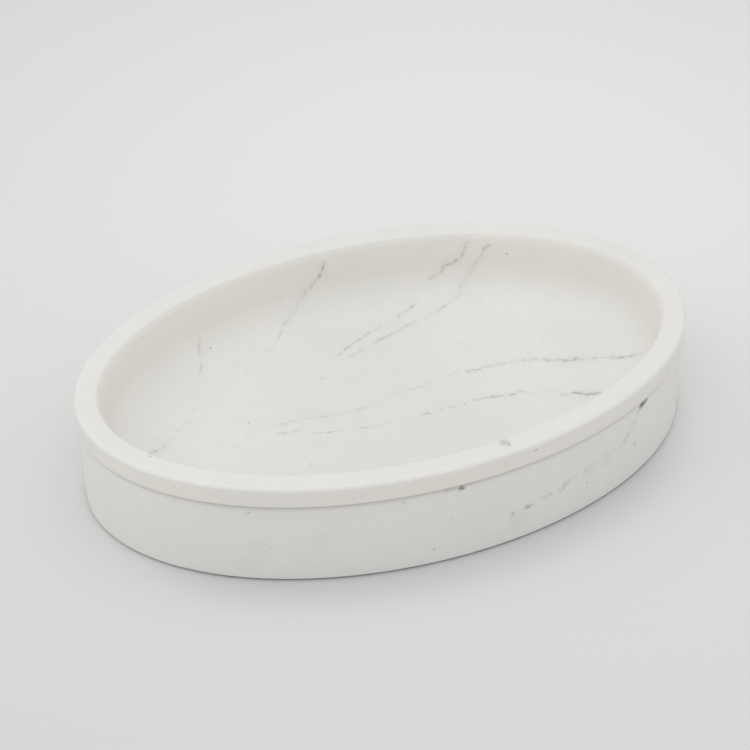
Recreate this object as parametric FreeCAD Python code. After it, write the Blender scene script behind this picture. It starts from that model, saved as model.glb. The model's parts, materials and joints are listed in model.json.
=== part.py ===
# Oval stone soap dish: a lift-out tray with a bowl, a base that the tray nests in, and four soft feet.
# Millimetres, +Z up. The origin is on the table under the middle of the dish, X runs along its length.
import FreeCAD, Part
import math
import os

# Overall size of the dish
dish_length = 140.0
dish_width = 88.0
dish_height = 26.0

# Rim of the tray, the band that shows above the seam
rim_height = 5.0
rim_width = 5.3
rim_overhang = 0.5
rim_outer_bevel = 0.6
rim_inner_round = 1.4
rim_lower_bevel = 0.35

# Bowl of the tray, whose wall leans outward from its floor to the rim
bowl_floor_height = 11.0
bowl_floor_round = 10.5
tray_wall = 2.7
tray_floor = 3.8
tray_bottom_bevel = 6.0
wall_lean_degrees = 11.0

# Base, a tub that holds the tray by its rim
base_edge_bevel = 0.6
base_lip_bevel = 0.4
tray_side_clearance = 0.4
tray_floor_clearance = 0.6

# Feet, set into sockets under the base
foot_diameter = 10.0
foot_thickness = 1.9
foot_stand = 0.5
foot_edge_bevel = 0.3
foot_side_clearance = 0.1
foot_inset = 15.0
foot_bearing_degrees = 48.0

# The oval plan is drawn with eight tangent arcs: these powers of its slenderness keep it to an ellipse
end_fullness = 0.146
side_flatness = 0.11
shoulder_fullness = 0.064

# Radii of those arcs, at the ends, at the shoulders and along the sides
half_length = dish_length / 2
half_width = dish_width / 2
slenderness = half_length / half_width
end_radius = half_width / slenderness * slenderness**end_fullness
side_radius = half_length * slenderness / slenderness**side_flatness
shoulder_radius = math.sqrt(end_radius * side_radius) * slenderness**shoulder_fullness

# Heights that follow from the sizes above
seam_height = dish_height - rim_height
tray_bottom_height = bowl_floor_height - tray_floor
tray_bevel_height = tray_bottom_height + tray_bottom_bevel
well_floor_height = tray_bottom_height - tray_floor_clearance
well_bevel_height = well_floor_height + tray_bottom_bevel
lip_bevel_height = seam_height - base_lip_bevel
wall_lean = math.tan(math.radians(wall_lean_degrees))
socket_depth = foot_thickness - foot_stand

up = FreeCAD.Vector(0, 0, 1)


def bowl_inset(height):
    """How far the leaning bowl wall stands in from the plan of the dish at a height."""
    return rim_width + wall_lean * (dish_height - height)


def nest_inset(height):
    """The same for the outside of the bowl, below the rim."""
    return bowl_inset(height) - tray_wall


def well_inset(height):
    """The same for the wall of the base, which leaves the tray its clearance."""
    return nest_inset(height) - tray_side_clearance


# Insets where the flat floors start: the bowl's past its rounding, the other two past their bevels
half_floor_corner = math.radians(90 + wall_lean_degrees) / 2
bowl_floor_inset = bowl_inset(bowl_floor_height) + bowl_floor_round / math.tan(half_floor_corner)
tray_bottom_inset = nest_inset(tray_bottom_height) + tray_bottom_bevel
well_floor_inset = well_inset(well_floor_height) + tray_bottom_bevel

# A plain plate fills the middle of both stone pieces, from inside the widest of those floor edges
core_inset = (max(bowl_floor_inset, tray_bottom_inset, well_floor_inset) + end_radius) / 2


def plan_arcs():
    """Centre, radius, first and last angle of the tangent arcs of the plan, counter-clockwise."""
    end = FreeCAD.Vector(half_length - end_radius, 0, 0)
    side = FreeCAD.Vector(0, half_width - side_radius, 0)
    from_end = shoulder_radius - end_radius
    from_side = side_radius - shoulder_radius
    apart = side - end
    along = (from_end**2 - from_side**2 + apart.Length**2) / (2 * apart.Length)
    across = math.sqrt(from_end**2 - along**2)
    apart.normalize()
    shoulder = end + apart * along + apart.cross(up) * across
    mirrored = FreeCAD.Vector(-shoulder.x, shoulder.y, 0)
    first = math.atan2(end.y - shoulder.y, end.x - shoulder.x)
    second = math.atan2(shoulder.y - side.y, shoulder.x - side.x)
    arcs = []
    for sign, turn in ((1, 0), (-1, math.pi)):
        arcs.append((end * sign, end_radius, turn - first, turn + first))
        arcs.append((shoulder * sign, shoulder_radius, turn + first, turn + second))
        arcs.append((side * sign, side_radius, turn + second, turn + math.pi - second))
        arcs.append((mirrored * sign, shoulder_radius, turn + math.pi - second, turn + math.pi - first))
    return arcs


def rounded_section(corners):
    """A face across the wall, from corners given as inset, height and rounding."""
    points = [FreeCAD.Vector(-inset, 0, height) for inset, height, rounding in corners]
    bends = []
    for index, (inset, height, rounding) in enumerate(corners):
        corner = points[index]
        back = (points[index - 1] - corner).normalize()
        ahead = (points[(index + 1) % len(points)] - corner).normalize()
        half_corner = back.getAngle(ahead) / 2
        reach = rounding / math.tan(half_corner)
        inward = (back + ahead).normalize()
        middle = corner + inward * (rounding / math.sin(half_corner) - rounding)
        bends.append((corner + back * reach, middle, corner + ahead * reach, rounding))
    edges = []
    for index, (start, middle, end, rounding) in enumerate(bends):
        if rounding > 0:
            edges.append(Part.Arc(start, middle, end).toShape())
        following = bends[(index + 1) % len(bends)][0]
        edges.append(Part.LineSegment(end, following).toShape())
    return Part.Face(Part.Wire(edges))


def oval_body(corners, core_bottom, core_top):
    """A solid whose wall section is carried round the plan, with a flat plate in the middle."""
    section = rounded_section(corners)
    sectors = []
    core_edges = []
    for centre, radius, first, last in plan_arcs():
        face = section.copy()
        face.translate(FreeCAD.Vector(radius, 0, 0))
        face.rotate(FreeCAD.Vector(0, 0, 0), up, math.degrees(first))
        face.translate(centre)
        sectors.append(face.revolve(centre, up, math.degrees(last - first)))
        circle = Part.Circle(centre + up * core_bottom, up, radius - core_inset)
        core_edges.append(Part.ArcOfCircle(circle, first, last).toShape())
    core = Part.Face(Part.Wire(core_edges)).extrude(up * (core_top - core_bottom))
    return core.multiFuse(sectors).removeSplitter().Solids[0]


def make_tray():
    corners = [
        (core_inset, bowl_floor_height, 0),
        (bowl_inset(bowl_floor_height), bowl_floor_height, bowl_floor_round),
        (rim_width, dish_height, rim_inner_round),
        (rim_outer_bevel, dish_height, 0),
        (0, dish_height - rim_outer_bevel, 0),
        (0, seam_height + rim_lower_bevel, 0),
        (rim_lower_bevel, seam_height, 0),
        (nest_inset(seam_height), seam_height, 0),
        (nest_inset(tray_bevel_height), tray_bevel_height, 0),
        (tray_bottom_inset, tray_bottom_height, 0),
        (core_inset, tray_bottom_height, 0),
    ]
    return oval_body(corners, tray_bottom_height, bowl_floor_height)


def foot_places():
    """Names and centres of the feet, on an oval inside the edge of the base."""
    reach_x = half_length - rim_overhang - foot_inset
    reach_y = half_width - rim_overhang - foot_inset
    bearing = math.radians(foot_bearing_degrees)
    places = {}
    for end, sign_y in (("front", -1), ("rear", 1)):
        for side, sign_x in (("left", -1), ("right", 1)):
            x = sign_x * reach_x * math.cos(bearing)
            y = sign_y * reach_y * math.sin(bearing)
            places[f"foot_{end}_{side}"] = FreeCAD.Vector(x, y, 0)
    return places


def make_base():
    corners = [
        (core_inset, well_floor_height, 0),
        (well_floor_inset, well_floor_height, 0),
        (well_inset(well_bevel_height), well_bevel_height, 0),
        (well_inset(seam_height), seam_height, 0),
        (rim_overhang + base_lip_bevel, seam_height, 0),
        (rim_overhang, lip_bevel_height, 0),
        (rim_overhang, foot_stand + base_edge_bevel, 0),
        (rim_overhang + base_edge_bevel, foot_stand, 0),
        (core_inset, foot_stand, 0),
    ]
    base = oval_body(corners, foot_stand, well_floor_height)
    socket_radius = foot_diameter / 2 + foot_side_clearance
    sockets = []
    for place in foot_places().values():
        sockets.append(Part.makeCylinder(socket_radius, socket_depth, place + up * foot_stand))
    return base.cut(sockets).Solids[0]


def make_foot(place):
    foot = Part.makeCylinder(foot_diameter / 2, foot_thickness, place)
    lower_edges = [edge for edge in foot.Edges if edge.CenterOfMass.z < foot_edge_bevel]
    return foot.makeChamfer(foot_edge_bevel, lower_edges)


def main():
    pieces = {"base": make_base(), "tray": make_tray()}
    for name, place in foot_places().items():
        pieces[name] = make_foot(place)
    os.makedirs("parts", exist_ok=True)
    for name, shape in pieces.items():
        shape.exportStep(f"parts/{name}.step")
        box = shape.BoundBox
        size = f"{box.XLength:.2f} x {box.YLength:.2f} x {box.ZLength:.2f} mm"
        print(f"{name}: {len(shape.Solids)} solid, valid {shape.isValid()}, {size}, {shape.Volume:.0f} mm3")


main()
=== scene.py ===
# Looks of an oval marble soap dish: a tray that lifts out of its base, on four soft feet.
# Metres, in the frame of the solids: X along the dish, Y to its rear, Z up from the table.
import json
import math

import bmesh
import bpy
from mathutils import Matrix, Vector


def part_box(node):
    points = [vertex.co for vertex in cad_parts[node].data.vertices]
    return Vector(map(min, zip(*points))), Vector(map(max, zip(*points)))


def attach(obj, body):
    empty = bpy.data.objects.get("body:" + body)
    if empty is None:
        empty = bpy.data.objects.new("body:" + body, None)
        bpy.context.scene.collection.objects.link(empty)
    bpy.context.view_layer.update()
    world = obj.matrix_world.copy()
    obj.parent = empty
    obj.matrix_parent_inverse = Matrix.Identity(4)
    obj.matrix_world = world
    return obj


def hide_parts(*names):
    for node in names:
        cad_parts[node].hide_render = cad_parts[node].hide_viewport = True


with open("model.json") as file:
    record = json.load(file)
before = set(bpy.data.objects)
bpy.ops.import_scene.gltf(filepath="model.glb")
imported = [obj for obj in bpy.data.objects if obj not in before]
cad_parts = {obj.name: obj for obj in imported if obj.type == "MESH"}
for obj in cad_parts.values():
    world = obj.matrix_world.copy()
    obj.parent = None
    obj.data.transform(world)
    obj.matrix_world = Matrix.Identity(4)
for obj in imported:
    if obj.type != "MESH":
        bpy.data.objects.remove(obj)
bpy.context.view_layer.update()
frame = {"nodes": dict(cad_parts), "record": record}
mm = 0.001

# Sizes that the solids give
tray_low, tray_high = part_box("tray")
base_low, base_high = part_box("base")
half_length = tray_high.x
half_width = tray_high.y
rim_top = tray_high.z
seam = base_high.z
tray_bottom = tray_low.z
base_bottom = base_low.z
overhang = tray_high.x - base_high.x
mounts = {mount["name"]: mount for mount in frame["record"]["mounts"]}
bowl_floor = mounts["soap_rest"]["pos_m"][2]
foot_nodes = sorted(name for name in frame["nodes"] if name.startswith("foot_"))

# Rim, bowl and nest of the tray
rim_width = 5.3 * mm
rim_flat_width = 4.8 * mm
rim_inner_round = 0.8 * mm
rim_outer_round = 0.9 * mm
flare_depth = 1.3 * mm
flare_round = 4.0 * mm
rim_lower_round = 0.2 * mm
bowl_lean = math.tan(math.radians(11))
bowl_floor_round = 10.5 * mm
tray_wall = 2.7 * mm
tray_bottom_round = 7.0 * mm
tray_neck_round = 0.3 * mm

# Base and its well, which leaves the tray its clearance
side_clearance = 0.4 * mm
floor_clearance = 0.6 * mm
well_floor = tray_bottom - floor_clearance
well_floor_round = 7.4 * mm
seat_round = 0.4 * mm
seam_gap = 0.4 * mm
seam_depth = 0.9 * mm
base_lip_round = 0.12 * mm
base_edge_round = 0.25 * mm
socket_clearance = 0.1 * mm

# Feet, whose soles are slightly dished inside a narrow ring
foot_edge_round = 0.3 * mm
sole_ring = 1.5 * mm
sole_dish = 0.12 * mm

# How finely the meshes follow their curves
oval_steps = 320
foot_steps = 96
corner_degrees_per_step = 9
least_corner_steps = 4
plate_inset = 20 * mm
plate_shares = (0.75, 0.5, 0.25)
sharp_angle = math.radians(40)

# Camera, with the dish's origin this far from the middle of the picture
view_turn = math.radians(20.03)
view_tilt = math.radians(38.48)
view_roll = math.radians(-0.69)
view_distance = 540.2 * mm
view_right = 2.58 * mm
view_up = -13.96 * mm
sensor = 36.0
lens = 114.2

# Axes of the view: to the right, up and towards the camera
away = Vector((math.sin(view_turn), math.cos(view_turn), 0))
right_axis = Vector((math.cos(view_turn), -math.sin(view_turn), 0))
up_axis = away * math.sin(view_tilt) + Vector((0, 0, math.cos(view_tilt)))
near_axis = right_axis.cross(up_axis)

# Tones of the stone at shares of its height. On the tray they are painted light: painted warm bounce
# light makes the wall of the bowl warmer than its floor and the rim, and painted light makes it lighter a
# little below the top of the rim
tray_tones_and_painted_light = [
    (0.0, (0.81, 0.803, 0.776)), (0.45, (0.79, 0.768, 0.717)), (0.85, (0.827, 0.802, 0.745)),
    (0.97, (0.81, 0.795, 0.755)), (1.0, (0.80, 0.79, 0.76)),
]
base_tones = [(0.0, (0.78, 0.77, 0.74)), (1.0, (0.81, 0.795, 0.757))]

# Other colours of the stone, its painted glints and the painted shade along its seam, of the feet, and of
# the floor with its painted light and shade
cloud_stone = (0.70, 0.70, 0.68, 1)
vein_stone = (0.17, 0.165, 0.15, 1)
pit_stone = (0.30, 0.29, 0.26, 1)
glint_white = (0.95, 0.95, 0.94, 1)
seam_painted_shade = (0.30, 0.28, 0.20, 1)
silicone_clear = (0.74, 0.74, 0.72, 1)
silicone_dull = (0.69, 0.69, 0.67, 1)
floor_painted_bright = (0.805, 0.805, 0.805, 1)
floor_painted_dim = (0.69, 0.69, 0.69, 1)
floor_painted_shade = (0.61, 0.61, 0.62, 1)

# Painted shade along the seam: its reach down the base and up the rim band, and how much it tints the
# stone
seam_shade_below = 1.7 * mm
seam_shade_above = 0.45 * mm
seam_shade_share = 0.36

# This painted shade lies on the outside only: shares of the plan where that starts and where it is full
seam_shade_inner_share = 0.96
seam_shade_outer_share = 0.98

# Floor, a square sheet
floor_size = 8
floor_roughness = 0.9

# Painted light on the floor: it is palest behind the dish and turns duller between these two distances
# from there
painted_light_middle = (0.06, 0.08, 0)
floor_fade_start = 0.05
floor_fade_end = 0.22

# Painted shade on the floor beside the dish: how far out, how open the room is at the darkest, and rays
# to tell
shade_reach = 13 * mm
shade_full = 0.45
shade_samples = 4

# Distances along the dish from its middle between which this painted shade fades out
shade_fade_start = 45 * mm
shade_fade_end = 72 * mm

# Veins: how far they tint the stone in millimetres, and how their line and its soft border fall off
vein_reach = 2.4
vein_focus = 10
border_focus = 2
border_share = 0.1

# The course of a vein is a curve from 0 to 1, and the straight line between its ends is at its middle
course_middle = 0.5

# Veins fade out between these two depths below the top of the rim
vein_fade_start = 1.2 * mm
vein_fade_end = 0.5 * mm

# Spots are at their darkest out to this share of their radius
spot_core = 0.2

# A noise makes marks ragged: its scale per millimetre, and how far it pushes in millimetres
vein_push = dict(scale=0.55, reach=1.4)
spot_push = dict(scale=1.1, reach=1.6)
push_detail = 3.0
push_roughness = 0.6
noise_middle = (0.5, 0.5, 0.5)

# Patterns of the stone: a noise scaled per millimetre, and what its stretch from low to high turns into
vein_breaks = dict(scale=0.7, detail=3.0, roughness=0.5, low=0.36, high=0.62, to_low=0.12, to_high=1.2)
clouds = dict(scale=0.035, detail=5.0, roughness=0.6, low=0.42, high=0.78, to_low=0, to_high=0.3)
mottle = dict(scale=0.22, detail=4.0, roughness=0.65, low=0.5, high=0.8, to_low=0, to_high=0.35)
grain = dict(scale=2.2, detail=2.0, roughness=0.5, low=0.3, high=0.7, to_low=0, to_high=0.12)
stone_gloss = dict(scale=0.5, detail=4.0, roughness=0.5, low=0.3, high=0.7, to_low=0.42, to_high=0.54)

# Painted glints of crystals and open pits: cells per millimetre, where each starts to fade and ends, and
# strength
painted_glints = dict(scale=0.9, core=0.12, edge=0.24, share=1)
open_pits = dict(scale=0.16, core=0.02, edge=0.04, share=0.4)

# The painted glints show more on the rim: their shares below and on it, and the depths below its top of
# the change
glint_share = 0.08
rim_glint_share = 0.28
glint_rise_start = 2.0 * mm
glint_rise_end = 0.6 * mm

# Fine relief of the stone
stone_relief = dict(scale=3.0, detail=3.0, roughness=0.5)
relief_strength = 0.25
relief_depth = 0.04 * mm

# Haze in the feet, scaled per metre: what it does to their colour and to their gloss
pad_haze = dict(scale=900.0, detail=4.0, roughness=0.6, low=0.3, high=0.7, to_low=0, to_high=1)
pad_gloss = dict(scale=900.0, detail=4.0, roughness=0.6, low=0.3, high=0.7, to_low=0.5, to_high=0.65)

# Light that sinks into the stone and into the feet
stone_glow = {
    "Subsurface Weight": 0.15,
    "Subsurface Radius": (1.0, 0.85, 0.65),
    "Subsurface Scale": 2.0 * mm,
}
pad_glow = {"Subsurface Weight": 0.3, "Subsurface Scale": 1.0 * mm}

# Softboxes that face the dish: name, place and size in metres, and power in watts
softboxes = [
    ("above", (0.0, 0.0, 1.2), 1.4, 2.5),
    ("front", (-0.25, -0.70, 1.06), 1.0, 1.0),
    ("left", (-1.05, 0.28, 0.60), 1.1, 2.1),
    ("right", (1.01, -0.47, 0.60), 1.1, 0.8),
]

# Even light of the white room
room_colour = (1, 1, 1, 1)
room_strength = 0.737

# Veins of the tray: millimetres to the right and up across the view, and how dark the vein is there
tray_veins = [
    [(20.6, 44.7, 0), (19.5, 45.0, 0.2), (18.2, 42.1, 0.5), (16.1, 40.2, 0.36), (14.2, 39.7, 0.54),
     (13.3, 37.9, 0.5), (12.3, 37.6, 0.16), (11.0, 36.7, 0.5), (10.4, 36.2, 0)],
    [(7.8, 31.3, 0), (7.2, 30.7, 0.3), (4.9, 28.8, 0.35), (1.5, 26.7, 0.11), (-1.4, 25.3, 0.22),
     (-3.5, 23.9, 0.35), (-5.4, 22.8, 0.38), (-7.9, 21.0, 0.3), (-9.7, 19.7, 0.38),
     (-11.9, 17.9, 0.11), (-14.5, 15.8, 0)],
    [(24.9, 44.6, 0), (24.7, 44.1, 0.33), (23.2, 43.3, 0.4), (22.9, 42.2, 0.22), (20.8, 39.1, 0.28),
     (20.0, 36.9, 0.22), (18.0, 35.3, 0.22), (17.4, 32.8, 0.11), (16.7, 31.7, 0.16),
     (13.3, 29.8, 0.33), (11.9, 28.9, 0.31), (9.9, 27.6, 0.14), (6.4, 26.0, 0.22), (4.9, 25.3, 0.33),
     (3.0, 24.0, 0.22), (-1.4, 22.2, 0.4), (-3.6, 20.9, 0.4), (-5.7, 19.6, 0.35), (-10.4, 16.8, 0)],
    [(-13.7, 41.0, 0), (-14.2, 39.8, 0.34), (-14.9, 37.8, 0.56), (-17.3, 34.5, 0.29),
     (-19.1, 32.6, 0.56), (-19.9, 31.2, 0.11), (-20.8, 29.6, 0.11), (-23.0, 26.6, 0.34),
     (-24.0, 25.2, 0.18), (-24.6, 22.7, 0.22), (-26.4, 20.4, 0)],
    [(-42.6, 25.4, 0), (-42.6, 22.4, 0.14), (-42.4, 20.1, 0.28), (-42.5, 18.7, 0.11),
     (-42.4, 17.4, 0.06), (-42.1, 16.4, 0.28), (-42.4, 15.2, 0.19), (-42.6, 14.2, 0)],
    [(59.0, 18.7, 0), (57.6, 18.0, 0.15), (55.7, 17.6, 0.38), (52.9, 17.2, 0.45), (50.4, 17.5, 0.19),
     (48.0, 17.3, 0.38), (46.6, 17.0, 0.08), (44.9, 16.8, 0.38), (43.7, 17.2, 0.38), (42.7, 16.9, 0.5),
     (40.2, 16.9, 0.38), (35.8, 17.0, 0.29), (33.3, 17.1, 0.26), (30.8, 16.9, 0.36),
     (27.6, 16.5, 0.24), (26.1, 16.0, 0.38), (23.0, 15.6, 0.24), (20.1, 14.8, 0.41),
     (17.4, 14.5, 0.26), (14.8, 14.2, 0.21), (12.4, 13.6, 0)],
    [(12.4, 13.6, 0), (10.0, 12.3, 0.06), (7.3, 10.9, 0.22), (4.1, 10.0, 0.29), (1.7, 9.9, 0.22),
     (0.4, 8.5, 0.11), (-2.3, 7.4, 0.18), (-5.1, 6.6, 0.22), (-7.9, 5.7, 0.22), (-11.1, 5.3, 0.2),
     (-14.2, 4.8, 0.34), (-18.9, 4.3, 0.22), (-21.7, 3.7, 0.28), (-24.4, 3.1, 0.2), (-26.7, 2.3, 0.18),
     (-29.8, 1.0, 0.09), (-32.8, -1.4, 0.14), (-34.0, -2.0, 0)],
    [(48.4, 9.2, 0), (47.6, 9.1, 0.46), (44.7, 9.1, 0.5), (42.6, 9.5, 0.59), (40.7, 9.1, 0.25),
     (39.1, 9.1, 0.25), (38.3, 9.9, 0.1), (34.1, 9.8, 0.13), (30.5, 9.7, 0.25), (28.5, 9.4, 0.42),
     (26.8, 8.9, 0.25), (24.0, 8.8, 0.38), (19.6, 8.0, 0.28), (17.8, 7.6, 0.28), (16.2, 7.1, 0.25),
     (13.4, 6.6, 0.24), (11.2, 5.6, 0.46), (6.7, 4.8, 0.13), (3.9, 4.0, 0.1), (0.8, 3.2, 0.17),
     (-3.0, 2.4, 0.31), (-5.9, 2.2, 0.2), (-10.2, 1.8, 0.22), (-13.8, 1.4, 0.36), (-16.5, 1.6, 0.13),
     (-22.4, 1.6, 0.31), (-25.0, 1.4, 0)],
    [(-42.0, 8.8, 0), (-44.1, 4.8, 0.11), (-46.0, 2.5, 0.11), (-47.4, 0.2, 0.17), (-48.8, -1.3, 0.24),
     (-51.2, -2.3, 0.47), (-52.0, -2.6, 0)],
]

# Veins of the base in the same plane: down the right of its front, across its front and over its rear
base_veins = [
    [(56.0, 9.4, 0), (55.6, 8.4, 0.34), (55.0, 6.5, 0.34), (54.1, 4.2, 0.11), (53.3, 1.4, 0.17),
     (51.8, -0.7, 0.23), (50.6, -2.6, 0.06), (47.5, -3.6, 0.07), (43.0, -7.0, 0.11),
     (41.4, -7.8, 0.06), (39.3, -8.9, 0.17), (38.4, -9.7, 0.34), (37.3, -11.1, 0.23),
     (36.4, -11.9, 0)],
    [(55.5, -0.4, 0), (54.3, -1.7, 0.3), (53.4, -2.6, 0)],
    [(35.0, -11.7, 0), (34.7, -11.9, 0.46), (31.4, -13.7, 0.06), (29.6, -14.6, 0.52),
     (28.8, -15.2, 0.23), (27.3, -15.6, 0.06), (26.4, -16.0, 0.52), (25.6, -17.2, 0)],
    [(18.0, -8.7, 0), (17.0, -9.0, 0.17), (15.1, -9.7, 0.34), (12.9, -10.3, 0.21), (10.0, -11.0, 0)],
    [(-38, 38, 0), (-31, 35, 0.4), (-24, 34, 0.25), (-17, 31, 0.5), (-9, 30, 0.2), (-2, 27, 0)],
    [(4, 44, 0), (9, 40, 0.35), (12, 36, 0.5), (19, 33, 0.25), (23, 28, 0)],
    [(38, 40, 0), (43, 36, 0.45), (49, 34, 0.3), (56, 29, 0.5), (62, 22, 0)],
]

# Spots in the stone, and two broad darkenings of the tray's bowl floor: place in millimetres in the frame
# of the dish, radius and how dark
tray_spots = [
    [(41.0, 28.8, 21.2), 0.5, 0.5], [(-32.3, 28.7, 13.7), 0.4, 0.6], [(-26.5, 19.8, 11.0), 0.4, 0.6],
    [(-31.7, 2.9, 11.0), 0.4, 0.6], [(-10.9, 12.0, 11.0), 0.8, 0.25], [(17.4, -42.6, 24.1), 0.45, 0.8],
    [(11.3, -39.6, 26.0), 1.6, 0.34], [(11.9, -40.6, 26.0), 0.8, 0.42], [(-59.0, -17.4, 26.0), 0.4, 0.6],
    [(-28.1, -12.4, 11.0), 0.7, 0.2], [(-23.1, -15.2, 11.0), 0.8, 0.2], [(41.5, 7.6, 11.0), 0.5, 0.25],
    [(20.9, 16.8, 11.0), 10.0, 0.02], [(-26.3, 0.3, 11.0), 6.0, 0.06], [(-19.3, 0.2, 11.0), 6.5, 0.08],
    # The broad spot at (-25, -14) is painted shade on the left front of the bowl floor; the one at (-2,
    # -6) darkens most of the bowl floor a little
    [(-12.4, -0.2, 11.0), 6.5, 0.07], [(-5.3, -0.3, 11.0), 6.0, 0.05], [(-25.0, -14.0, 11.0), 22.0, 0.05],
    [(-2.0, -6.0, 11.0), 45.0, 0.07],
]
base_spots = [
    [(0.3, -43.5, 19.8), 1.0, 0.8], [(-3.0, -43.4, 20.0), 0.8, 0.22], [(47.3, -31.8, 19.6), 1.5, 1.0],
    [(48.4, -31.0, 19.8), 1.3, 0.8],
    [(45.3, -33.0, 16.1), 1.0, 0.14], [(42.4, -34.4, 13.0), 1.1, 0.18], [(46.0, -32.6, 8.8), 1.0, 0.14],
    [(37.2, -36.7, 10.4), 2.4, 0.08], [(31.8, -38.7, 11.1), 2.6, 0.10], [(25.7, -40.4, 10.5), 1.2, 0.3],
    [(-42.0, -34.6, 9.3), 4.0, 0.04], [(-43.9, -33.7, 4.0), 4.0, 0.05], [(-29.5, -39.4, 11.5), 3.0, 0.05],
    [(31.7, -38.7, 7.5), 0.45, 0.5], [(16.1, -42.3, 8.6), 1.1, 0.4], [(12.5, -42.8, 8.1), 0.7, 0.4],
    [(14.0, -42.6, 5.5), 4.0, 0.06],
    [(-43.2, -34.0, 19.1), 0.45, 0.7], [(-39.3, -35.9, 9.6), 0.4, 0.4], [(-5.6, -43.3, 4.4), 0.45, 0.5],
    [(-12.2, -42.8, 19.3), 0.4, 0.5],
]


def bowl_inset(height):
    """How far the leaning bowl wall stands in from the outline of the dish at a height."""
    return rim_width + bowl_lean * (rim_top - height)


def nest_inset(height):
    """The same for the outside of the bowl, below the rim."""
    return bowl_inset(height) - tray_wall


def well_inset(height):
    """The same for the wall of the base that faces the tray."""
    return nest_inset(height) - side_clearance


def rounded_profile(corners):
    """Points of a profile, from corners given as inset, height and rounding."""
    points = []
    for index, (inset, height, rounding) in enumerate(corners):
        corner = Vector((inset, height))
        if rounding == 0:
            points.append(corner)
            continue
        back = (Vector(corners[index - 1][:2]) - corner).normalized()
        ahead = (Vector(corners[index + 1][:2]) - corner).normalized()
        half_corner = back.angle(ahead) / 2
        middle = corner + (back + ahead).normalized() * (rounding / math.sin(half_corner))
        start = corner + back * (rounding / math.tan(half_corner)) - middle
        end = corner + ahead * (rounding / math.tan(half_corner)) - middle
        swing = start.angle_signed(end)
        steps = max(least_corner_steps, round(abs(math.degrees(swing)) / corner_degrees_per_step))
        for step in range(steps + 1):
            arm = start.copy()
            arm.rotate(Matrix.Rotation(-swing * step / steps, 2))
            points.append(middle + arm)
    return points


def oval_ring(half_x, half_y, inset, height, steps):
    """Points round an oval, moved in from its outline by an inset."""
    ring = []
    for step in range(steps):
        turn = math.tau * step / steps
        edge = Vector((half_x * math.cos(turn), half_y * math.sin(turn), height))
        outward = Vector((math.cos(turn) / half_x, math.sin(turn) / half_y, 0)).normalized()
        ring.append(edge - outward * inset)
    return ring


def oval_piece(name, profile, half_x, half_y, centre, steps):
    """A closed mesh: the profile carried round an oval, and a flat plate at each of its ends."""
    shape = bmesh.new()
    rings = [oval_ring(half_x, half_y, inset, height, steps) for inset, height in profile]
    rows = []
    first, last = rings[0], rings[-1]
    for share in reversed(plate_shares):
        rows.append([Vector((point.x * share, point.y * share, point.z)) for point in first])
    rows.extend(rings)
    for share in plate_shares:
        rows.append([Vector((point.x * share, point.y * share, point.z)) for point in last])
    rows = [[shape.verts.new(point + centre) for point in row] for row in rows]
    for row, following in zip(rows, rows[1:]):
        for step in range(steps):
            after = (step + 1) % steps
            shape.faces.new((row[step], row[after], following[after], following[step]))
    for row in (rows[0], rows[-1]):
        pole = shape.verts.new(Vector((centre.x, centre.y, row[0].co.z)))
        for step in range(steps):
            shape.faces.new((pole, row[step], row[(step + 1) % steps]))
    bmesh.ops.recalc_face_normals(shape, faces=shape.faces)
    mesh = bpy.data.meshes.new(name)
    shape.to_mesh(mesh)
    shape.free()
    piece = bpy.data.objects.new(name, mesh)
    bpy.context.scene.collection.objects.link(piece)
    return piece


def even_shading(piece):
    """Smooth faces with crisp edges, and flat stretches that stay flat beside small rounds."""
    piece.data.shade_smooth()
    piece.data.set_sharp_from_angle(angle=sharp_angle)
    weighted = piece.modifiers.new("even_shading", "WEIGHTED_NORMAL")
    weighted.keep_sharp = True


def make_tray():
    profile = rounded_profile([
        (plate_inset, bowl_floor, 0),
        (bowl_inset(bowl_floor), bowl_floor, bowl_floor_round),
        (bowl_inset(rim_top - flare_depth), rim_top - flare_depth, flare_round),
        (rim_flat_width, rim_top, rim_inner_round),
        (0, rim_top, rim_outer_round),
        (0, seam, rim_lower_round),
        (nest_inset(seam), seam, tray_neck_round),
        (nest_inset(tray_bottom), tray_bottom, tray_bottom_round),
        (plate_inset, tray_bottom, 0),
    ])
    return oval_piece("marble_tray", profile, half_length, half_width, Vector(), oval_steps)


def make_base():
    profile = rounded_profile([
        (plate_inset, well_floor, 0),
        (well_inset(well_floor), well_floor, well_floor_round),
        (well_inset(seam), seam, seat_round),
        (overhang + seam_depth, seam, 0),
        (overhang, seam - seam_gap, base_lip_round),
        (overhang, base_bottom, base_edge_round),
        (plate_inset, base_bottom, 0),
    ])
    base = oval_piece("marble_base", profile, half_length, half_width, Vector(), oval_steps)
    for node in foot_nodes:
        cut_socket(base, node)
    return base


def foot_size(node):
    """Centre of a foot on the table, its radius and its thickness."""
    low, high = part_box(node)
    centre = (low + high) / 2
    centre.z = low.z
    return centre, (high.x - low.x) / 2, high.z - low.z


def cut_socket(base, node):
    """Takes the round socket of a foot out of the underside of the base."""
    centre, radius, thickness = foot_size(node)
    socket = radius + socket_clearance
    profile = [Vector((socket / 2, -thickness)), Vector((0, -thickness)),
               Vector((0, thickness)), Vector((socket / 2, thickness))]
    cutter = oval_piece("socket", profile, socket, socket, centre, foot_steps)
    cut = base.modifiers.new("socket", "BOOLEAN")
    cut.operation = "DIFFERENCE"
    cut.solver = "EXACT"
    cut.object = cutter
    graph = bpy.context.evaluated_depsgraph_get()
    carved = bpy.data.meshes.new_from_object(base.evaluated_get(graph))
    base.modifiers.clear()
    base.data = carved
    bpy.data.objects.remove(cutter)


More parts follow.
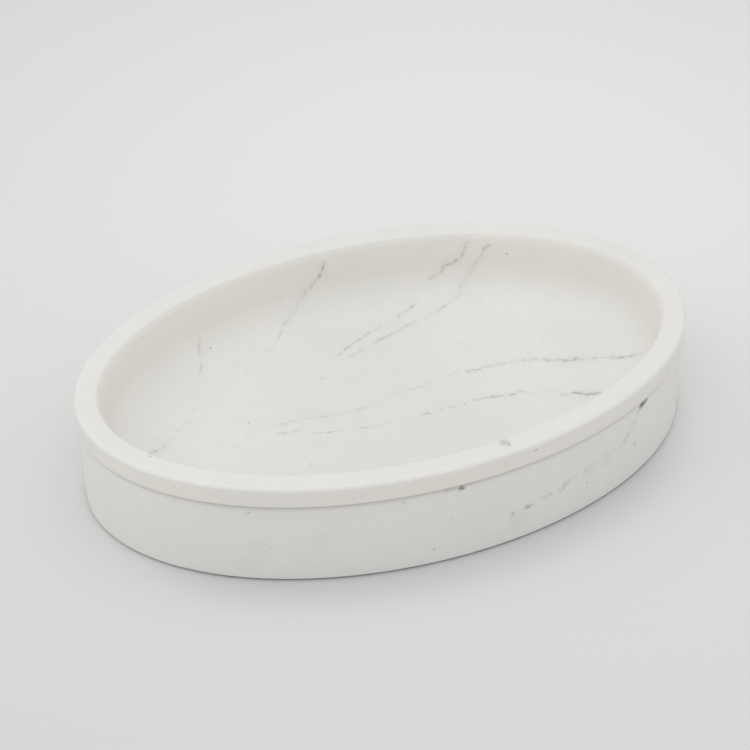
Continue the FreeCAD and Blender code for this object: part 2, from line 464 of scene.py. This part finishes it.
def make_foot(node):
    """A low pad with rounded edges and a shallow dished sole."""
    centre, radius, thickness = foot_size(node)
    profile = rounded_profile([
        (radius / 2, sole_dish, 0),
        (sole_ring, 0, foot_edge_round),
        (0, 0, foot_edge_round),
        (0, thickness, foot_edge_round),
        (radius / 2, thickness, 0),
    ])
    return oval_piece(node + "_pad", profile, radius, radius, centre, foot_steps)


class Shader:
    """A material's nodes, with short calls that add and join them."""

    def __init__(self, name):
        self.material = bpy.data.materials.new(name)
        self.material.use_nodes = True
        self.tree = self.material.node_tree
        self.surface = self.tree.nodes["Principled BSDF"]

    def feed(self, socket, value):
        if isinstance(value, bpy.types.NodeSocket):
            self.tree.links.new(value, socket)
        else:
            socket.default_value = value

    def dress(self, values):
        """Gives inputs of the surface their values, by name."""
        for key, value in values.items():
            self.feed(self.surface.inputs[key], value)

    def add(self, kind, inputs, **settings):
        node = self.tree.nodes.new(kind)
        for key, value in settings.items():
            setattr(node, key, value)
        for key, value in inputs.items():
            self.feed(node.inputs[key], value)
        return node

    def math(self, operation, first, second=0.0):
        return self.add("ShaderNodeMath", {0: first, 1: second}, operation=operation).outputs[0]

    def noise(self, place, scale, detail, roughness):
        inputs = {"Vector": place, "Scale": scale, "Detail": detail, "Roughness": roughness}
        return self.add("ShaderNodeTexNoise", inputs)

    def ramp(self, value, low, high, to_low, to_high, interpolation="SMOOTHSTEP"):
        node = self.add("ShaderNodeMapRange", {"Value": value}, interpolation_type=interpolation)
        limits = {"From Min": low, "From Max": high, "To Min": to_low, "To Max": to_high}
        for key, limit in limits.items():
            node.inputs[key].default_value = limit
        return node.outputs["Result"]

    def pattern(self, place, scale, detail, roughness, low, high, to_low, to_high):
        """A noise whose stretch from low to high is brought to a range of its own."""
        level = self.noise(place, scale, detail, roughness).outputs["Fac"]
        return self.ramp(level, low, high, to_low, to_high)

    def cells(self, place, scale, core, edge, share):
        """Small round places strewn about, strongest at their middles."""
        node = self.add("ShaderNodeTexVoronoi", {"Vector": place, "Scale": scale})
        return self.ramp(node.outputs["Distance"], core, edge, share, 0)

    def mix(self, share, first, second):
        node = self.add("ShaderNodeMix", {"Factor": share}, data_type="RGBA")
        colours = [socket for socket in node.inputs if socket.type == "RGBA"]
        self.feed(colours[0], first)
        self.feed(colours[1], second)
        return [socket for socket in node.outputs if socket.type == "RGBA"][0]

    def tones(self, share, stops):
        node = self.add("ShaderNodeValToRGB", {"Fac": share})
        band = node.color_ramp.elements
        for place, colour in stops[1:-1]:
            band.new(place)
        for element, (place, colour) in zip(band, stops):
            element.position = place
            element.color = (*colour, 1)
        return node.outputs["Color"]

    def curve(self, value, points, handles):
        node = self.add("ShaderNodeFloatCurve", {"Value": value})
        line = node.mapping.curves[0]
        for place, level in points[1:-1]:
            line.points.new(place, level)
        line.points[0].location = points[0]
        line.points[-1].location = points[-1]
        for point in line.points:
            point.handle_type = handles
        node.mapping.update()
        return node.outputs[0]


def vein(shader, place, path, breaks):
    """How strongly a vein shows at a place of the view plane, as a broken line with a soft border."""
    start = Vector(path[0][:2])
    run = Vector(path[-1][:2]) - start
    along = run.normalized()
    beside = Vector((-along.y, along.x))
    corner = start - beside * run.length * course_middle
    course = []
    darkness = []
    for right, up, dark in path:
        reach = Vector((right, up)) - start
        share = reach.dot(along) / run.length
        course.append((share, reach.dot(beside) / run.length + course_middle))
        darkness.append((share, dark))
    placed = {
        "Vector": place,
        "Location": (corner.x, corner.y, 0),
        "Rotation": (0, 0, math.atan2(run.y, run.x)),
        "Scale": (run.length, run.length, run.length),
    }
    local = shader.add("ShaderNodeMapping", placed, vector_type="TEXTURE")
    parts = shader.add("ShaderNodeSeparateXYZ", {"Vector": local.outputs[0]})
    line = shader.curve(parts.outputs["X"], course, "VECTOR")
    level = shader.curve(parts.outputs["X"], darkness, "AUTO_CLAMPED")
    gap = shader.math("ABSOLUTE", shader.math("SUBTRACT", parts.outputs["Y"], line))
    near = shader.ramp(gap, 0, vein_reach / run.length, 1, 0, "LINEAR")
    core = shader.math("MULTIPLY", shader.math("POWER", near, vein_focus), breaks)
    border = shader.math("MULTIPLY", shader.math("POWER", near, border_focus), border_share)
    return shader.math("MULTIPLY", shader.math("ADD", core, border), level)


def spot(shader, place, centre, radius, dark):
    """How strongly a spot in the stone shows."""
    inputs = {"Vector": place, "Location": centre, "Scale": (radius, radius, radius)}
    local = shader.add("ShaderNodeMapping", inputs, vector_type="TEXTURE")
    reach = shader.add("ShaderNodeVectorMath", {0: local.outputs[0]}, operation="LENGTH")
    return shader.ramp(reach.outputs["Value"], spot_core, 1, dark, 0)


def wandering(shader, place, scale, reach):
    """A place pushed about by a noise, so that what is drawn there comes out ragged."""
    push = shader.noise(place, scale, push_detail, push_roughness).outputs["Color"]
    centred = shader.add("ShaderNodeVectorMath", {0: push, 1: noise_middle}, operation="SUBTRACT")
    inputs = {0: centred.outputs[0], 1: (reach, reach, reach), 2: place}
    return shader.add("ShaderNodeVectorMath", inputs, operation="MULTIPLY_ADD").outputs[0]


def painted_seam_shade(shader, place, height):
    """How strongly painted shade darkens the outside of the dish along its seam."""
    inverse = {"Vector": place, "Scale": (1 / half_length, 1 / half_width, 0)}
    plan = shader.add("ShaderNodeMapping", inverse).outputs[0]
    reach = shader.add("ShaderNodeVectorMath", {0: plan}, operation="LENGTH").outputs["Value"]
    outside = shader.ramp(reach, seam_shade_inner_share, seam_shade_outer_share, 0, seam_shade_share)
    below = shader.ramp(height, seam - seam_shade_below, seam, 0, 1)
    above = shader.ramp(height, seam, seam + seam_shade_above, 1, 0)
    return shader.math("MULTIPLY", outside, shader.math("MULTIPLY", below, above))


def stone_marks(shader, plane, stone, height, veins, spots):
    """How strongly the placed veins and spots show."""
    ragged_plane = wandering(shader, plane, **vein_push)
    breaks = shader.pattern(stone, **vein_breaks)
    marks = 0.0
    for path in veins:
        marks = shader.math("MAXIMUM", marks, vein(shader, ragged_plane, path, breaks))
    below_rim = shader.ramp(height, rim_top - vein_fade_start, rim_top - vein_fade_end, 1, 0)
    marks = shader.math("MULTIPLY", marks, below_rim)
    ragged_stone = wandering(shader, stone, **spot_push)
    for centre, radius, dark in spots:
        marks = shader.math("MAXIMUM", marks, spot(shader, ragged_stone, centre, radius, dark))
    return marks


def unmarked_stone(shader, stone, height, bottom, top, tones):
    """Colour of the stone without its marks: tones by height, which on the tray are painted light,
    clouds, grain and painted glints.
    """
    colour = shader.tones(shader.ramp(height, bottom, top, 0, 1, "LINEAR"), tones)
    cloudy = shader.math("MAXIMUM", shader.pattern(stone, **clouds), shader.pattern(stone, **mottle))
    colour = shader.mix(cloudy, colour, cloud_stone)
    colour = shader.mix(shader.pattern(stone, **grain), colour, cloud_stone)
    # Painted glints: pale crystal spots, with more of them near the top of the rim
    rise_start = rim_top - glint_rise_start
    rise_end = rim_top - glint_rise_end
    on_rim = shader.ramp(height, rise_start, rise_end, glint_share, rim_glint_share)
    glint_mask = shader.math("MULTIPLY", shader.cells(stone, **painted_glints), on_rim)
    return shader.mix(glint_mask, colour, glint_white)


def honed_marble(name, tones, bottom, top, veins, spots):
    """White marble with placed veins and spots, soft clouds, fine grain, a few open pits, painted glints
    and painted shade along the seam.
    """
    shader = Shader(name)
    here = shader.add("ShaderNodeTexCoord", {}).outputs["Object"]
    height = shader.add("ShaderNodeSeparateXYZ", {"Vector": here}).outputs["Z"]
    in_mm = {"Vector": here, "Scale": (1 / mm, 1 / mm, 1 / mm)}
    stone = shader.add("ShaderNodeMapping", in_mm).outputs[0]
    view_rotation = Matrix((right_axis, up_axis, near_axis)).to_euler()
    plane = shader.add("ShaderNodeMapping", {**in_mm, "Rotation": view_rotation}).outputs[0]

    pits = shader.cells(stone, **open_pits)
    marks = stone_marks(shader, plane, stone, height, veins, spots)
    colour = unmarked_stone(shader, stone, height, bottom, top, tones)
    colour = shader.mix(marks, colour, vein_stone)
    colour = shader.mix(pits, colour, pit_stone)
    # Painted shade along the seam, where the rim band overhangs the base
    colour = shader.mix(painted_seam_shade(shader, here, height), colour, seam_painted_shade)
    relief = shader.math("SUBTRACT", shader.noise(stone, **stone_relief).outputs["Fac"], pits)
    bump = {"Height": relief, "Strength": relief_strength, "Distance": relief_depth}
    normal = shader.add("ShaderNodeBump", bump).outputs[0]
    gloss = shader.pattern(stone, **stone_gloss)
    shader.dress({"Base Color": colour, "Roughness": gloss, "Normal": normal})
    shader.dress(stone_glow)
    return shader.material


def silicone():
    """Dull clear silicone, with a moulded haze."""
    shader = Shader("silicone_pad")
    here = shader.add("ShaderNodeTexCoord", {}).outputs["Object"]
    colour = shader.mix(shader.pattern(here, **pad_haze), silicone_clear, silicone_dull)
    shader.dress({"Base Color": colour, "Roughness": shader.pattern(here, **pad_gloss)})
    shader.dress(pad_glow)
    return shader.material


def paper_floor():
    """A wide pale sheet that the dish stands on, with painted light behind the dish and painted shade
    beside it.
    """
    shader = Shader("pale_floor")
    here = shader.add("ShaderNodeTexCoord", {}).outputs["Object"]
    # Painted light: the floor is palest round a point behind the dish and duller away from it
    middle = {"Vector": here, "Location": painted_light_middle}
    from_middle = shader.add("ShaderNodeMapping", middle, vector_type="TEXTURE").outputs[0]
    reach = shader.add("ShaderNodeVectorMath", {0: from_middle}, operation="LENGTH").outputs["Value"]
    fade = shader.ramp(reach, floor_fade_start, floor_fade_end, 0, 1, "LINEAR")
    colour = shader.mix(fade, floor_painted_bright, floor_painted_dim)
    # Painted shade: the floor darkens where an occlusion node finds it closed in beside the dish, less
    # towards the ends
    crevice = shader.add("ShaderNodeAmbientOcclusion", {"Distance": shade_reach}, samples=shade_samples)
    closed = shader.ramp(crevice.outputs["AO"], shade_full, 1, 1, 0, "LINEAR")
    along = shader.add("ShaderNodeSeparateXYZ", {"Vector": here}).outputs["X"]
    beside = shader.ramp(shader.math("ABSOLUTE", along), shade_fade_start, shade_fade_end, 1, 0)
    colour = shader.mix(shader.math("MULTIPLY", closed, beside), colour, floor_painted_shade)
    shader.dress({"Base Color": colour, "Roughness": floor_roughness})
    bpy.ops.mesh.primitive_plane_add(size=floor_size)
    floor = bpy.context.object
    floor.name = "floor"
    floor.data.materials.append(shader.material)


def soft_light(name, place, size, power):
    """A square softbox that faces the dish."""
    light = bpy.data.lights.new(name, "AREA")
    light.size = size
    light.energy = power
    lamp = bpy.data.objects.new(name, light)
    lamp.location = place
    lamp.rotation_euler = (-Vector(place)).to_track_quat("-Z", "Y").to_euler()
    bpy.context.scene.collection.objects.link(lamp)


def light_room():
    """A white room that lights the dish evenly from all sides."""
    world = bpy.data.worlds.new("studio")
    world.use_nodes = True
    background = world.node_tree.nodes["Background"]
    background.inputs["Color"].default_value = room_colour
    background.inputs["Strength"].default_value = room_strength
    bpy.context.scene.world = world


def make_camera():
    """The camera at the angle of the photo."""
    data = bpy.data.cameras.new("camera")
    data.sensor_width = sensor
    data.lens = lens
    camera = bpy.data.objects.new("camera", data)
    bpy.context.scene.collection.objects.link(camera)
    across = right_axis * math.cos(view_roll) + up_axis * math.sin(view_roll)
    upright = up_axis * math.cos(view_roll) - right_axis * math.sin(view_roll)
    place = near_axis * view_distance - right_axis * view_right - up_axis * view_up
    turn = Matrix((across, upright, near_axis)).transposed()
    camera.matrix_world = Matrix.Translation(place) @ turn.to_4x4()
    bpy.context.scene.camera = camera


def place_piece(piece, node, body, material):
    """Puts a finished piece in the place of its solid."""
    even_shading(piece)
    piece.data.materials.clear()
    piece.data.materials.append(material)
    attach(piece, body)
    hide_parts(node)


tray_marble = honed_marble("honed_marble_tray", tray_tones_and_painted_light, bowl_floor, rim_top, tray_veins, tray_spots)
base_marble = honed_marble("honed_marble_base", base_tones, base_bottom, seam, base_veins, base_spots)
place_piece(make_tray(), "tray", "tray", tray_marble)
place_piece(make_base(), "base", "base", base_marble)
pad = silicone()
for node in foot_nodes:
    place_piece(make_foot(node), node, "base", pad)

paper_floor()
make_camera()
light_room()
for softbox in softboxes:
    soft_light(*softbox)
bpy.context.scene.view_settings.view_transform = "Standard"
